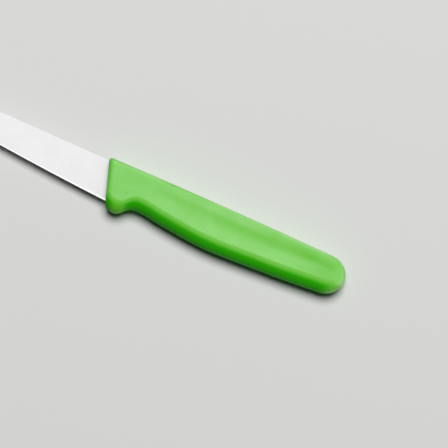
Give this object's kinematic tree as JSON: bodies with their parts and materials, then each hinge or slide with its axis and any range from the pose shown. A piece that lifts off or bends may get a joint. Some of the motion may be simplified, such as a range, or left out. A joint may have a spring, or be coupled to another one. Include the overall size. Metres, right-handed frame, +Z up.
{
  "type": "paring knife",
  "caption": "Paring knife with a pointed, straight-spined blade and a one-piece moulded handle that has a finger guard, a finger notch, a swelling belly and a domed butt",
  "frame": {"origin": "centre of the outer box in plan, on the surface that the knife lies on", "axes": "+X along the knife from the point to the butt, +Y from the cutting edge to the spine, +Z up through the thickness of the knife, which lies on its side"},
  "size_m": [0.1904, 0.0206, 0.012],
  "materials": {
    "blade_steel": "stainless steel, finely ground across the blade, with a bright sharpened bevel",
    "handle_plastic": "bright green polypropylene, satin as moulded"
  },
  "bodies": {
    "root": {"blade": "blade_steel", "handle": "handle_plastic"}
  },
  "joints": []
}
